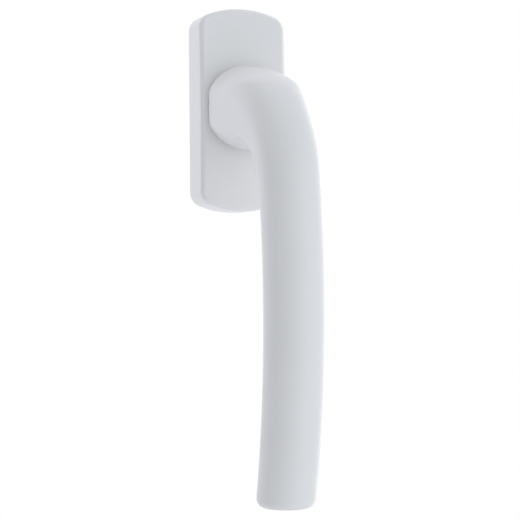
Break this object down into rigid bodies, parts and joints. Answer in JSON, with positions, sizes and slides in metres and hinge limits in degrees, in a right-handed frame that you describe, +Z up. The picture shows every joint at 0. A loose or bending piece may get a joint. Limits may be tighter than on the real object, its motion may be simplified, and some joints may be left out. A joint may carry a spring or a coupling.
{
  "type": "window handle",
  "caption": "Tilt-and-turn window handle: narrow rose with a turning cover plate over its screws, a bowed white grip that turns with detents, and a square drive spindle.",
  "frame": {"origin": "on the spindle's axis, in the plane where the rose meets the sash", "axes": "+Y along the spindle into the sash, -Y into the room, +Z up with the grip hanging to -Z, +X to the right as seen from the room"},
  "size_m": [0.0294, 0.0928, 0.1582],
  "materials": {
    "white_plastic": "white nylon, smooth satin moulding with a fine mould grain",
    "white_cover": "white nylon, satin gloss moulding",
    "bush_plastic": "white acetal, matt turned finish",
    "white_enamel": "cast aluminium under a white baked powder coat, smooth, satin gloss",
    "spindle_steel": "bright zinc plated drawn square bar",
    "spring_steel": "oiled spring steel, grey",
    "cam_steel": "sintered steel, dull grey",
    "zinc_plate": "zinc plated sheet steel, bluish",
    "zinc_screw": "zinc plated steel screw"
  },
  "bodies": {
    "rose": {"rose_body": "white_plastic", "bearing_bush": "bush_plastic", "back_plate": "zinc_plate", "back_plate_screws": "zinc_screw", "detent_spring_upper": "spring_steel", "detent_spring_lower": "spring_steel", "fixing_screws": "zinc_screw"},
    "handle": {"grip": "white_enamel", "spindle": "spindle_steel", "spindle_pin": "spring_steel", "detent_cam": "cam_steel", "spring_washer": "spring_steel", "circlip": "spring_steel"},
    "cover": {"rose_cover": "white_cover"}
  },
  "joints": [
    {"name": "handle_turn", "type": "hinge", "parent": "rose", "child": "handle", "pos_m": [0, 0, 0], "axis": [0, 1, 0], "continuous": true, "deforming": ["detent_spring_upper", "detent_spring_lower"]},
    {"name": "cover_turn", "type": "hinge", "parent": "rose", "child": "cover", "pos_m": [0, 0, 0], "axis": [0, 1, 0], "range_deg": [0, 90]}
  ]
}
